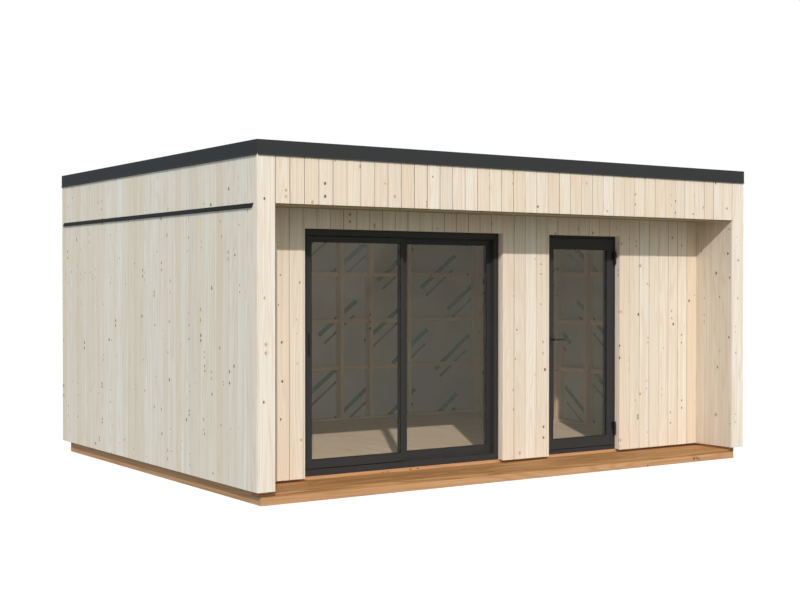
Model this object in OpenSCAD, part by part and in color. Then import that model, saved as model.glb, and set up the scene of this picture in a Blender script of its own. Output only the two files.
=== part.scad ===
// Garden office pod: a timber framed room behind a shallow porch, with a sliding door and a hinged door.
// Millimetres, +Z up, +X to the right and +Y to the back, origin on the ground under the middle of the roof.

/* [Overall] */
// Width over the side cladding
pod_w = 5000; // [4600:1:5400]
// Depth over the front and back cladding
pod_d = 3970; // [3600:1:4400]
// Height to the top of the roof trim
pod_h = 2625; // [2580:1:2700]

/* [Base and floor] */
// How far the base stands in from the cladding
base_inset = 58; // [40:1:75]
// Height of the base beams under the walls
base_h = 110; // [100:1:130]
// Width of a base beam
beam_t = 60; // [50:1:80]
// Width of a floor or roof joist
joist_t = 45; // [35:1:60]
// Number of floor joists between the side beams
floor_joists = 9; // [9:1:12]
// Height of the porch bearers
bearer_h = 57; // [45:1:65]
// Thickness of a deck board
deck_t = 28; // [22:1:34]
// Number of deck boards
deck_boards = 3; // [2:1:4]
// Gap between deck boards
deck_gap = 6; // [4:1:8]
// Radius of a deck board's top edges
deck_r = 4; // [2:0.5:6]
// Thickness of the room floor
floor_t = 28; // [18:1:32]

/* [Walls] */
// Thickness of the cladding boards
clad_t = 18; // [15:1:22]
// Height of the bottom edge of the cladding
clad_bottom = 105; // [95:1:110]
// Thickness of the wind membrane
membrane_t = 2; // [1:0.5:3]
// Width of a stud
stud_t = 45; // [36:1:60]
// Depth of a stud
stud_d = 95; // [80:1:100]
// Height of the bottom and top plates
plate_t = 45; // [36:1:60]
// Height of the horizontal rails
rail_h = 45; // [36:1:60]
// Depth of the horizontal rails
rail_d = 45; // [36:1:60]
// Height of the lowest rail's centre line above the base
rail_first = 583; // [560:1:600]
// Distance between the rails
rail_step = 503; // [490:1:520]
// Largest distance between the studs of the side and front walls
stud_step = 474; // [440:1:500]
// Distances of the back wall's studs from its middle
back_studs = [556, 928, 1428]; // [200:1:1600]
// Thickness of the porch side walls
wing_t = 145; // [140:1:160]
// Width of the corner board on the side of a porch wall
corner_w = 55; // [45:1:110]
// Depth of the porch
porch_d = 445; // [380:1:520]
// Height of the fascia between the roof trim and the porch ceiling
fascia_h = 341; // [330:1:360]
// Clear gap between membrane sheets at the back corners
membrane_gap = 1; // [1:1:3]

/* [Openings] */
// Left edge of the patio opening
patio_x = -1856; // [-1900:1:-1800]
// Width of the patio opening
patio_w = 1915; // [1880:1:1950]
// Left edge of the door opening
door_x = 566; // [530:1:600]
// Width of the door opening
door_w = 822; // [800:1:850]
// Height of the cladding over both openings
over_h = 152; // [140:1:180]
// Thickness of the lining boards around an opening
lining_t = 12; // [10:1:18]
// How far the door frames stand behind the cladding
frame_set = 60; // [50:1:70]

/* [Patio door] */
// Depth of the patio frame
patio_frame_d = 100; // [96:1:120]
// Depth of the front track
track_d = 50; // [48:1:54]
// Width of the patio frame's jambs
patio_jamb = 46; // [40:1:55]
// Height of the patio frame's sill and head
patio_rail = 51; // [45:1:60]
// How much wider the frame is behind the front track
track_step = 12; // [10:1:16]
// Thickness of a sash
sash_t = 36; // [32:1:40]
// How far the sliding sash stands behind the frame's face
sash_set = 4; // [2:1:6]
// Running gap around the sliding sash
sash_gap = 5; // [5:0.5:7]
// Clearance of the runners on the track
runner_gap = 0.3; // [0.2:0.1:0.5]
// Length of a runner
runner_l = 70; // [50:1:90]
// Width of the sliding sash
sash_w = 896; // [880:1:910]
// Width of the sliding sash's outer stile
sash_stile = 43; // [38:1:50]
// Width of the sliding sash's meeting stile
meet_stile = 24; // [22:1:44]
// Height of the sliding sash's bottom rail
sash_bottom = 67; // [60:1:90]
// Height of the sliding sash's top rail
sash_top = 44; // [40:1:56]
// How far the fixed sash reaches behind the sliding sash
sash_lap = 2; // [1:0.5:6]
// Width of the fixed sash's meeting stile
fixed_meet = 70; // [60:1:90]
// Width of the fixed sash's outer stile
fixed_stile = 27; // [24:1:40]
// Thickness of the glass units
glass_t = 24; // [20:1:28]
// How far the glass is let into its frame
glass_seat = 8; // [6:1:10]
// Height of the pull's centre line
pull_z = 1129; // [1050:1:1200]
// Width of the pull
pull_w = 18; // [14:1:24]
// Height of the pull
pull_h = 180; // [120:1:200]
// Depth of the pull
pull_d = 12; // [8:1:16]

/* [Hinged door] */
// Thickness of the door leaf
leaf_t = 50; // [44:1:54]
// Width of the frame's face beside the leaf
door_jamb = 20; // [18:1:26]
// Width of the stop behind the leaf
door_stop = 25; // [20:1:28]
// Depth of the stop behind the leaf
stop_d = 35; // [28:1:45]
// Height of the threshold
threshold_h = 34; // [30:1:40]
// Running gap around the leaf
leaf_gap = 5; // [5:0.5:7]
// Running gap at the leaf's free edge
free_gap = 8; // [8:0.5:10]
// Width of the leaf's stiles
leaf_stile = 73; // [66:1:80]
// Height of the leaf's bottom rail
leaf_bottom = 88; // [80:1:105]
// Height of the leaf's top rail
leaf_top = 94; // [80:1:110]
// Distance of the lower hinge above the leaf's bottom edge
hinge_low = 89; // [70:1:110]
// Distance of the upper hinge below the leaf's top edge
hinge_high = 108; // [90:1:130]
// Height of a hinge
hinge_h = 120; // [100:1:130]
// Radius of a hinge barrel
barrel_r = 10; // [8:0.5:10.5]
// Radius of a hinge pin
pin_r = 5; // [4:0.5:5.5]
// Running clearance of a hinge pin
pin_gap = 0.06; // [0.04:0.01:0.08]
// Distance of the hinge line in front of the leaf
hinge_out = 24; // [18:0.5:28]
// Thickness of a hinge plate
hinge_plate_t = 3; // [2:0.5:4]
// Width of a hinge plate
hinge_plate_w = 18; // [15:1:20]

/* [Door handle] */
// Distance of the handle's spindle from the leaf's free edge
handle_in = 48; // [44:1:52]
// Height of the handle's spindle
handle_z = 1114; // [1050:1:1150]
// Length of a lever
lever_l = 125; // [110:1:140]
// Height of a lever
lever_h = 20; // [16:1:24]
// Thickness of a lever
lever_t = 12; // [10:1:14]
// Radius of a lever's neck
neck_r = 9; // [8:0.5:10]
// Clear space between a lever and its plate
lever_out = 42; // [36:1:50]
// Radius of the spindle
spindle_r = 5; // [4:0.5:6]
// Running clearance of the spindle
spindle_gap = 0.06; // [0.04:0.01:0.08]
// Width of a handle plate
plate_w = 34; // [30:1:40]
// Height of a handle plate
plate_h = 90; // [80:1:120]
// Distance of the plate's middle below the spindle
plate_drop = 14; // [8:1:20]
// Thickness of a handle plate
handle_plate_t = 6; // [4:1:8]
// Radius of the key cylinder
key_r = 8; // [7:0.5:9]
// Distance of the key cylinder below the spindle
key_drop = 38; // [34:1:44]
// How far the key cylinder stands out of its plate
key_out = 4; // [2:1:6]

/* [Roof] */
// Number of roof joists
roof_joists_n = 11; // [11:1:14]
// Height of a roof joist
roof_joist_h = 220; // [200:1:240]
// Thickness of the roof deck
roof_deck_t = 18; // [15:1:22]
// Thickness of the roof covering
roof_cover_t = 5; // [3:1:8]
// Thickness of the parapet timbers
parapet_t = 45; // [36:1:60]
// Height of the trim's face
trim_h = 110; // [90:1:130]
// Thickness of the trim sheet
trim_t = 3; // [2:0.5:4]
// Width of the trim's cap
trim_cap = 75; // [66:1:90]
// How far the trim's drip edge stands out
lip_out = 14; // [10:1:18]
// Height of the trim's drip edge
lip_h = 12; // [8:1:16]
// Width of the notch in the drip edge at a corner
notch_w = 5; // [3:0.5:8]
// Height of the notch in the drip edge at a corner
notch_h = 15; // [10:1:20]
// Height of the drip flashing
flash_h = 32; // [26:1:40]
// How far the drip flashing stands out
flash_out = 14; // [8:1:14]

/* [Hidden] */
$fn = 64;
xo = pod_w / 2;
yo = pod_d / 2;
front_y = -yo;
// Clad wall planes, from the outside in
side_back = xo - clad_t;
stud_out = side_back - membrane_t;
stud_in = stud_out - stud_d;
back_stud_out = yo - clad_t - membrane_t;
back_stud_in = back_stud_out - stud_d;
wing_in = xo - wing_t;
wing_lining = wing_in + clad_t;
porch_y = front_y + porch_d;
porch_clad_back = porch_y + clad_t;
front_stud_y = porch_clad_back + membrane_t;
front_stud_in = front_stud_y + stud_d;
frame_y = porch_y + frame_set;
wing_back = front_y + clad_t;
// Levels
floor_top = base_h + floor_t;
soffit_z = pod_h - trim_h - fascia_h;
opening_top = soffit_z - over_h;
wall_top = soffit_z + clad_t;
joist_top = wall_top + roof_joist_h;
roof_z = joist_top + roof_deck_t;
trim_bottom = pod_h - trim_h;
parapet_top = pod_h - trim_t;
clad_top = parapet_top;
flash_bottom = soffit_z - flash_h;
rail_z = [for (z = [base_h + rail_first : rail_step : wall_top - plate_t - rail_h]) z];
// Base
base_x = xo - base_inset;
base_y = yo - base_inset;
deck_w = (frame_y + base_y - (deck_boards - 1) * deck_gap) / deck_boards;
deck_top = bearer_h + deck_t;
// Patio door
patio_x1 = patio_x + patio_w;
patio_y1 = frame_y + patio_frame_d;
track_y = frame_y + track_d;
clear_x0 = patio_x + patio_jamb;
clear_x1 = patio_x1 - patio_jamb;
clear_z0 = base_h + patio_rail;
clear_z1 = opening_top - patio_rail;
rear_x1 = clear_x1 - track_step;
rear_z0 = clear_z0 + track_step;
rear_z1 = clear_z1 - track_step;
sash_x0 = clear_x0 + sash_gap;
sash_x1 = sash_x0 + sash_w;
sash_z0 = clear_z0 + sash_gap;
sash_z1 = clear_z1 - sash_gap;
sash_y0 = frame_y + sash_set;
sash_y1 = sash_y0 + sash_t;
fixed_x0 = sash_x1 - sash_lap;
fixed_y0 = track_y + sash_gap / 2;
fixed_y1 = fixed_y0 + sash_t;
// Rails of the fixed sash, so that both panes line up
fixed_bottom = sash_bottom - track_step + sash_gap;
fixed_top = sash_top - track_step + sash_gap;
runner_in = (sash_t - glass_t) / 2;
// Hinged door
door_x1 = door_x + door_w;
leaf_x0 = door_x + door_jamb + free_gap;
leaf_x1 = door_x1 - door_jamb - leaf_gap;
leaf_z0 = base_h + threshold_h + leaf_gap;
leaf_z1 = opening_top - door_jamb - leaf_gap;
leaf_y1 = frame_y + leaf_t;
rebate_y1 = leaf_y1 + leaf_gap;
door_y1 = rebate_y1 + stop_d;
hinge_x = leaf_x1 + leaf_gap / 2;
hinge_y = frame_y - hinge_out;
hinge_z = [leaf_z0 + hinge_low, leaf_z1 - hinge_high - hinge_h];
knuckle_h = hinge_h / 2;
knuckle_gap = 0.3;
handle_x = leaf_x0 + handle_in;
spindle_out = handle_plate_t + lever_out;
// Lengths that only reach past a face that is cut
cut = 5;
reach = 100;

timber = [0.86, 0.76, 0.58];
treated = [0.62, 0.44, 0.27];
board = [0.90, 0.84, 0.74];
sheet = [0.55, 0.56, 0.55];
dark = [0.22, 0.23, 0.24];
black = [0.05, 0.05, 0.05];
clear = [0.6, 0.7, 0.72, 0.35];

// Evenly spaced middles of n pieces of width t from a to b
function spread(a, b, t, n) = [for (i = [0 : n - 1]) a + t / 2 + i * (b - a - t) / (n - 1)];

// Middles of the studs of a wall frame from a to b
function studs(a, b) = spread(a, b, stud_t, ceil((b - a - stud_t) / stud_step) + 1);

module box(x0, x1, y0, y1, z0, z1) {
    translate([x0, y0, z0]) cube([x1 - x0, y1 - y0, z1 - z0]);
}

module mirrored() {
    children();
    mirror([1, 0, 0]) children();
}

// Wall frame along X with studs at these places, and its rails at y0 where that is the outer face
module frame_x(x0, x1, y0, y1, outer, places) {
    box(x0, x1, y0, y1, base_h, base_h + plate_t);
    box(x0, x1, y0, y1, wall_top - plate_t, wall_top);
    for (x = places)
        box(x - stud_t / 2, x + stud_t / 2, y0, y1, base_h, wall_top);
    for (z = rail_z)
        box(x0, x1, outer ? y0 : y1 - rail_d, outer ? y0 + rail_d : y1, z - rail_h / 2, z + rail_h / 2);
}

// Glass let into the middle of an open rectangle with these outer faces and side widths
module pane(x0, x1, y0, y1, z0, z1, left, right, bottom, top) {
    inset = (y1 - y0 - glass_t) / 2;
    box(x0 + left - glass_seat, x1 - right + glass_seat, y0 + inset, y1 - inset,
        z0 + bottom - glass_seat, z1 - top + glass_seat);
}

// Open rectangle in the plane of the front wall, grooved for its glass
module ring(x0, x1, y0, y1, z0, z1, left, right, bottom, top) {
    difference() {
        box(x0, x1, y0, y1, z0, z1);
        box(x0 + left, x1 - right, y0 - cut, y1 + cut, z0 + bottom, z1 - top);
        pane(x0, x1, y0, y1, z0, z1, left, right, bottom, top);
    }
}

module base_frame() color(treated) {
    mirrored() box(base_x - beam_t, base_x, frame_y, base_y, 0, base_h);
    box(-base_x, base_x, base_y - beam_t, base_y, 0, base_h);
    box(-base_x, base_x, frame_y, frame_y + beam_t + beam_t / 2, 0, base_h);
    for (x = spread(-base_x + beam_t, base_x - beam_t, joist_t, floor_joists + 2))
        box(x - joist_t / 2, x + joist_t / 2, frame_y, base_y, 0, base_h);
}

// Beams under the porch's side walls, notched round the end of the front deck board
module wing_beams() color(treated)
    mirrored() {
        box(base_x - beam_t, base_x, -base_y + deck_w, frame_y, 0, base_h);
        box(base_x - beam_t, base_x, -base_y + beam_t, -base_y + deck_w + cut, 0, bearer_h);
        box(base_x - beam_t, base_x, -base_y, -base_y + deck_w + cut, deck_top, base_h);
    }

module porch_bearers() color(treated) {
    box(-base_x, base_x, -base_y, -base_y + beam_t, 0, bearer_h);
    for (x = spread(-base_x + beam_t, base_x - beam_t, joist_t, floor_joists + 2))
        box(x - joist_t / 2, x + joist_t / 2, -base_y, frame_y, 0, bearer_h);
}

// Section of a deck board with rounded top edges
module deck_section(w) {
    square([w, deck_t - deck_r]);
    translate([deck_r, 0]) square([w - 2 * deck_r, deck_t]);
    for (y = [deck_r, w - deck_r]) translate([y, deck_t - deck_r]) circle(r = deck_r);
}

module porch_deck() color(treated) {
    for (i = [0 : deck_boards - 1])
        translate([0, -base_y + i * (deck_w + deck_gap), bearer_h]) rotate([90, 0, 90])
            linear_extrude(height = 2 * (i == 0 ? base_x : base_x - beam_t), center = true)
                deck_section(deck_w);
}

module floor_panel() color(timber) {
    difference() {
        box(-stud_in, stud_in, front_stud_in, back_stud_in, base_h, floor_top);
        box(patio_x, patio_x1, front_stud_in - cut, patio_y1, base_h - cut, floor_top + cut);
        box(door_x, door_x1, front_stud_in - cut, door_y1, base_h - cut, floor_top + cut);
    }
}

module side_frame() {
    box(stud_in, stud_out, wing_back, back_stud_out, base_h, base_h + plate_t);
    box(stud_in, stud_out, wing_back, back_stud_out, wall_top - plate_t, wall_top);
    for (y = [back_stud_out - stud_t / 2 : -stud_step : porch_y])
        box(stud_in, stud_out, y - stud_t / 2, y + stud_t / 2, base_h, wall_top);
    for (z = rail_z)
        box(stud_out - rail_d, stud_out, wing_back, back_stud_out, z - rail_h / 2, z + rail_h / 2);
    for (y = [wing_back, porch_y - stud_t])
        box(wing_lining, stud_out, y, y + stud_t, base_h, wall_top);
}

module left_wall_frame() color(timber) mirror([1, 0, 0]) side_frame();

module right_wall_frame() color(timber) side_frame();

module back_wall_frame() color(timber) {
    half = concat(back_studs, [stud_in - stud_t / 2]);
    frame_x(-stud_in, stud_in, back_stud_in, back_stud_out, false, concat(half, -half));
}

module front_wall_frame() color(timber) {
    for (span = [[-stud_in, patio_x - lining_t], [patio_x1 + lining_t, door_x - lining_t],
            [door_x1 + lining_t, stud_in]])
        frame_x(span[0], span[1], front_stud_y, front_stud_in, true, studs(span[0], span[1]));
}

module front_headers() color(timber) {
    z0 = opening_top + lining_t;
    box(patio_x - lining_t, patio_x1 + lining_t, front_stud_y, front_stud_in, z0, wall_top);
    box(door_x - lining_t, door_x1 + lining_t, front_stud_y, front_stud_in, z0, wall_top);
}

module wind_membrane() color(sheet) {
    mirrored() box(stud_out, side_back, wing_back, back_stud_out, base_h, joist_top);
    box(-stud_out + membrane_gap, stud_out - membrane_gap, back_stud_out, back_stud_out + membrane_t,
        base_h, joist_top);
    difference() {
        box(-stud_in, stud_in, porch_clad_back, front_stud_y, base_h, wall_top);
        box(patio_x - lining_t, patio_x1 + lining_t, porch_clad_back - cut, front_stud_y + cut,
            base_h - cut, opening_top + lining_t);
        box(door_x - lining_t, door_x1 + lining_t, porch_clad_back - cut, front_stud_y + cut,
            base_h - cut, opening_top + lining_t);
    }
}

module side_cladding() {
    box(side_back, xo, front_y + corner_w, yo, clad_bottom, flash_bottom);
    box(side_back, xo, front_y + corner_w, yo, soffit_z, clad_top);
    box(side_back, xo, yo - corner_w, yo, flash_bottom - cut, soffit_z + cut);
}

module left_cladding() color(board) mirror([1, 0, 0]) side_cladding();

module right_cladding() color(board) side_cladding();

module back_cladding() color(board)
    box(-side_back, side_back, yo - clad_t, yo, clad_bottom, clad_top);

module front_cladding_left() color(board)
    box(-wing_in, patio_x, porch_y, porch_clad_back, clad_bottom, soffit_z);

module front_cladding_middle() color(board)
    box(patio_x1, door_x, porch_y, porch_clad_back, clad_bottom, soffit_z);

module front_cladding_right() color(board)
    box(door_x1, wing_in, porch_y, porch_clad_back, clad_bottom, soffit_z);

module front_cladding_over() color(board) {
    box(patio_x, patio_x1, porch_y, porch_clad_back, opening_top, soffit_z);
    box(door_x, door_x1, porch_y, porch_clad_back, opening_top, soffit_z);
}

module front_fascia() color(board)
    box(-wing_in, wing_in, front_y, wing_back, soffit_z, clad_top);

module porch_soffit() color(board)
    box(-wing_in, wing_in, wing_back, porch_clad_back, soffit_z, wall_top);

module porch_side_cladding() color(board)
    mirrored() box(wing_in, wing_lining, wing_back, porch_clad_back, clad_bottom, wall_top);

module wing_boards() color(board) {
    mirrored() {
        box(wing_in, xo, front_y, wing_back, clad_bottom, clad_top);
        box(side_back, xo, front_y, front_y + corner_w, clad_bottom, clad_top);
    }
}

// Three boards around the sides and top of an opening
module lining(x0, x1) {
    difference() {
        box(x0 - lining_t, x1 + lining_t, porch_clad_back, front_stud_in, base_h, opening_top + lining_t);
        box(x0, x1, porch_clad_back - cut, front_stud_in + cut, base_h - cut, opening_top);
    }
}

module opening_linings() color(board) {
    lining(patio_x, patio_x1);
    lining(door_x, door_x1);
}

module roof_joists() color(timber) {
    for (x = spread(-stud_out, stud_out, joist_t, roof_joists_n))
        box(x - joist_t / 2, x + joist_t / 2, wing_back, back_stud_out, wall_top, joist_top);
}

module roof_deck() color(timber)
    box(-stud_out, stud_out, wing_back, yo - clad_t, joist_top, roof_z);

// Block between the parapets, standing in from their inner faces
module roof_well(inset, z0, z1) {
    u = side_back - parapet_t - inset;
    v = yo - clad_t - parapet_t - inset;
    box(-u, u, -v, v, z0, z1);
}

// Sheet over the roof deck, turned up the parapets to under the trim
module roof_cover() color(black) {
    difference() {
        roof_well(0, roof_z, parapet_top);
        roof_well(roof_cover_t, roof_z + roof_cover_t, parapet_top + cut);
    }
}

module roof_parapet() color(timber) {
    difference() {
        box(-side_back, side_back, wing_back, yo - clad_t, roof_z, parapet_top);
        roof_well(0, roof_z - cut, parapet_top + cut);
    }
}

// Wedge cut from the drip edge at the +Y end of a trim length
module notch(u, v) {
    translate([u, 0, 0]) rotate([90, 0, 90]) linear_extrude(height = reach)
        polygon([[v - notch_w, trim_bottom - cut], [v - notch_w, trim_bottom],
            [v + trim_t, trim_bottom + notch_h], [v + reach, trim_bottom + notch_h],
            [v + reach, trim_bottom - cut]]);
}

// One mitred length of roof trim on the +X face of a roof of half width u and half length v
module trim(u, v) {
    difference() {
        trim_length(u, v);
        notch(u, v);
        mirror([0, 1, 0]) notch(u, v);
    }
}

module trim_length(u, v) {
    intersection() {
        translate([u, 0, 0]) rotate([90, 0, 0])
            linear_extrude(height = 2 * (v + reach), center = true)
                polygon([[0, trim_bottom], [lip_out, trim_bottom], [lip_out, trim_bottom + trim_t],
                    [trim_t, trim_bottom + lip_h], [trim_t, pod_h], [-trim_cap, pod_h],
                    [-trim_cap, parapet_top], [0, parapet_top]]);
        linear_extrude(height = pod_h + reach)
            polygon([[u - reach, v - reach], [u + reach, v + reach],
                [u + reach, -v - reach], [u - reach, -v + reach]]);
    }
}

module trim_front() color(dark) rotate([0, 0, -90]) trim(yo, xo);

module trim_back() color(dark) rotate([0, 0, 90]) trim(yo, xo);

module trim_left() color(dark) rotate([0, 0, 180]) trim(xo, yo);

module trim_right() color(dark) trim(xo, yo);

// Length of drip flashing on the +X face, from a to b along Y
module flashing(u, a, b) {
    translate([u, (a + b) / 2, 0]) rotate([90, 0, 0])
        linear_extrude(height = b - a, center = true)
            polygon([[-clad_t, flash_bottom], [flash_out, flash_bottom], [flash_out, flash_bottom + trim_t],
                [trim_t, soffit_z - trim_t], [trim_t, soffit_z], [-clad_t, soffit_z]]);
}

module drip_flashings() color(dark)
    mirrored() flashing(xo, front_y + corner_w, yo - corner_w);

module patio_frame() color(dark) {
    difference() {
        box(patio_x, patio_x1, frame_y, patio_y1, base_h, opening_top);
        box(clear_x0, clear_x1, frame_y - cut, track_y, clear_z0, clear_z1);
        box(clear_x0 + track_step, rear_x1, frame_y, patio_y1 + cut, rear_z0, rear_z1);
    }
}

module fixed_sash() color(dark)
    ring(fixed_x0, rear_x1, fixed_y0, fixed_y1, rear_z0, rear_z1,
        fixed_meet, fixed_stile, fixed_bottom, fixed_top);

module fixed_glass() color(clear)
    pane(fixed_x0, rear_x1, fixed_y0, fixed_y1, rear_z0, rear_z1,
        fixed_meet, fixed_stile, fixed_bottom, fixed_top);

module sliding_sash() color(dark) {
    ring(sash_x0, sash_x1, sash_y0, sash_y1, sash_z0, sash_z1, sash_stile, meet_stile, sash_bottom, sash_top);
    for (x = [sash_x0 + runner_l, sash_x1 - 2 * runner_l]) {
        box(x, x + runner_l, sash_y0 + runner_in, sash_y1 - runner_in, clear_z0 + runner_gap, sash_z0 + cut);
        box(x, x + runner_l, sash_y0 + runner_in, sash_y1 - runner_in, sash_z1 - cut, clear_z1 - runner_gap);
    }
}

module sliding_glass() color(clear)
    pane(sash_x0, sash_x1, sash_y0, sash_y1, sash_z0, sash_z1, sash_stile, meet_stile, sash_bottom, sash_top);

module sash_pull() color(black)
    box(sash_x0 + (sash_stile - pull_w) / 2, sash_x0 + (sash_stile + pull_w) / 2, sash_y0 - pull_d, sash_y0,
        pull_z - pull_h / 2, pull_z + pull_h / 2);

module door_frame() color(dark) {
    difference() {
        box(door_x, door_x1, frame_y, door_y1, base_h, opening_top);
        box(door_x + door_jamb, door_x1 - door_jamb, frame_y - cut, rebate_y1,
            base_h + threshold_h, opening_top - door_jamb);
        box(door_x + door_jamb + door_stop, door_x1 - door_jamb - door_stop, frame_y, door_y1 + cut,
            base_h + threshold_h, opening_top - door_jamb - door_stop);
    }
}

// Plate and web that carry a hinge knuckle, on the +X side of the hinge line
module hinge_plate(h) {
    translate([leaf_gap / 2, hinge_out - hinge_plate_t, 0]) cube([hinge_plate_w, hinge_plate_t, h]);
    translate([leaf_gap / 2, 0, 0]) cube([barrel_r - leaf_gap / 2, hinge_out, h]);
}

module frame_hinges() color(black) {
    for (z = hinge_z) translate([hinge_x, hinge_y, z]) {
        cylinder(h = knuckle_h, r = barrel_r);
        cylinder(h = hinge_h, r = pin_r);
        hinge_plate(knuckle_h);
    }
}

module leaf_hinges() color(black) {
    h = knuckle_h - knuckle_gap;
    for (z = hinge_z) translate([hinge_x, hinge_y, z + knuckle_h + knuckle_gap]) difference() {
        union() {
            cylinder(h = h, r = barrel_r);
            mirror([1, 0, 0]) hinge_plate(h);
        }
        translate([0, 0, -cut]) cylinder(h = hinge_h, r = pin_r + pin_gap);
    }
}

module door_leaf() color(dark) {
    difference() {
        ring(leaf_x0, leaf_x1, frame_y, leaf_y1, leaf_z0, leaf_z1,
            leaf_stile, leaf_stile, leaf_bottom, leaf_top);
        translate([handle_x, frame_y - cut, handle_z]) rotate([-90, 0, 0])
            cylinder(h = leaf_t + 2 * cut, r = spindle_r + spindle_gap);
    }
}

module door_glass() color(clear)
    pane(leaf_x0, leaf_x1, frame_y, leaf_y1, leaf_z0, leaf_z1,
        leaf_stile, leaf_stile, leaf_bottom, leaf_top);

// Handle plate with its key cylinder, lying on a face at y = 0 and growing towards -Y
module handle_plate() {
    difference() {
        translate([-plate_w / 2, -handle_plate_t, -plate_drop - plate_h / 2])
            cube([plate_w, handle_plate_t, plate_h]);
        rotate([90, 0, 0]) translate([0, 0, -cut])
            cylinder(h = handle_plate_t + 2 * cut, r = spindle_r + spindle_gap);
    }
    translate([0, 0, -key_drop]) rotate([90, 0, 0]) cylinder(h = handle_plate_t + key_out, r = key_r);
}

module handle_plates() color(dark) {
    translate([handle_x, frame_y, handle_z]) handle_plate();
    translate([handle_x, leaf_y1, handle_z]) mirror([0, 1, 0]) handle_plate();
}

// Neck and lever in front of a plate, growing towards -Y from the plate's face
module lever_arm() {
    rotate([90, 0, 0]) translate([0, 0, knuckle_gap]) cylinder(h = lever_out, r = neck_r);
    translate([0, -lever_out, 0]) rotate([90, 0, 0]) cylinder(h = lever_t, r = lever_h / 2);
    translate([0, -lever_out - lever_t, -lever_h / 2]) cube([lever_l - lever_h / 2, lever_t, lever_h]);
    translate([lever_l - lever_h / 2, -lever_out, 0]) rotate([90, 0, 0])
        cylinder(h = lever_t, r = lever_h / 2);
}

module door_lever() color(dark) {
    translate([handle_x, frame_y - handle_plate_t, handle_z]) lever_arm();
    translate([handle_x, leaf_y1 + handle_plate_t, handle_z]) mirror([0, 1, 0]) lever_arm();
    translate([handle_x, frame_y - spindle_out, handle_z]) rotate([-90, 0, 0])
        cylinder(h = leaf_t + 2 * spindle_out, r = spindle_r);
}

base_frame();
wing_beams();
porch_bearers();
porch_deck();
floor_panel();
left_wall_frame();
right_wall_frame();
back_wall_frame();
front_wall_frame();
front_headers();
wind_membrane();
left_cladding();
right_cladding();
back_cladding();
front_cladding_left();
front_cladding_middle();
front_cladding_right();
front_cladding_over();
front_fascia();
porch_soffit();
porch_side_cladding();
wing_boards();
opening_linings();
roof_joists();
roof_deck();
roof_cover();
roof_parapet();
trim_front();
trim_back();
trim_left();
trim_right();
drip_flashings();
patio_frame();
fixed_sash();
fixed_glass();
sliding_sash();
sliding_glass();
sash_pull();
door_frame();
frame_hinges();
door_leaf();
door_glass();
leaf_hinges();
handle_plates();
door_lever();
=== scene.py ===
"""Looks of the garden office pod: boards, frames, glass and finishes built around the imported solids."""
import math
import random

import bmesh
import bpy
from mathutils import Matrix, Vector


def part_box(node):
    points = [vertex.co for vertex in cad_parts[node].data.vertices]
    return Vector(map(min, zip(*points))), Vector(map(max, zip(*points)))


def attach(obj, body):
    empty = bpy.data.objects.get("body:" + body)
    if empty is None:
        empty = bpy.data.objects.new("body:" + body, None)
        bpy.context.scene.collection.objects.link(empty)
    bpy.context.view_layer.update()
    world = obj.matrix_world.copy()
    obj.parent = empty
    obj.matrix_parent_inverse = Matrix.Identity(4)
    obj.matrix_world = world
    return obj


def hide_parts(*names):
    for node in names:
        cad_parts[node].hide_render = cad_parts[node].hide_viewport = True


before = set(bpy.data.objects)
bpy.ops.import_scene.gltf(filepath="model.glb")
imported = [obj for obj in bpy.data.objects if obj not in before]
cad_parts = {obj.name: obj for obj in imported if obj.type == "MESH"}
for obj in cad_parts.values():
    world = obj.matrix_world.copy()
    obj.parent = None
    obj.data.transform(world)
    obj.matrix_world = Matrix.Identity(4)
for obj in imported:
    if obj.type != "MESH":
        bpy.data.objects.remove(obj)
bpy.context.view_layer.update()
scene = bpy.context.scene
rng = random.Random(41)
MM = 0.001
X, Y, Z = 0, 1, 2

# The pod's sizes are millimetres, as in the part's source. A name's ending says what it measures: _T a
# thickness, _W a width, _H a height, _D a depth, _L a length, _R a radius, _EASE how far edges are eased.

# Wall planes, from the outside in
SIDE, FRONT, BACK = 2500, -1985, 1985
CLAD_T, MEMBRANE_T, STUD_D = 18, 2, 95
WING_T, CORNER_W, PORCH_D, FRAME_SET = 145, 55, 445, 60
SIDE_CLAD_IN = SIDE - CLAD_T
STUD_OUT = SIDE_CLAD_IN - MEMBRANE_T
STUD_IN = STUD_OUT - STUD_D
BACK_CLAD_IN = BACK - CLAD_T
BACK_STUD_OUT = BACK_CLAD_IN - MEMBRANE_T
BACK_STUD_IN = BACK_STUD_OUT - STUD_D
WING_IN = SIDE - WING_T
WING_BACK = FRONT + CLAD_T
CORNER_END = FRONT + CORNER_W
PORCH_FACE = FRONT + PORCH_D
PORCH_BACK = PORCH_FACE + CLAD_T
FRONT_STUD_OUT = PORCH_BACK + MEMBRANE_T
FRONT_STUD_IN = FRONT_STUD_OUT + STUD_D
FRAME_FACE = PORCH_FACE + FRAME_SET

# Levels
BASE_H, BEARER_H, DECK_T, FLOOR_T = 110, 57, 28, 28
CLAD_LOW, CLAD_TOP, SOFFIT = 105, 2622, 2174
OVER_H, ROOF_JOIST_H, ROOF_DECK_T, ROOF_COVER_T = 152, 220, 18, 5
DECK_TOP = BEARER_H + DECK_T
FLOOR_TOP = BASE_H + FLOOR_T
OPENING_TOP = SOFFIT - OVER_H
WALL_TOP = SOFFIT + CLAD_T
JOIST_TOP = WALL_TOP + ROOF_JOIST_H
ROOF_Z = JOIST_TOP + ROOF_DECK_T

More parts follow.
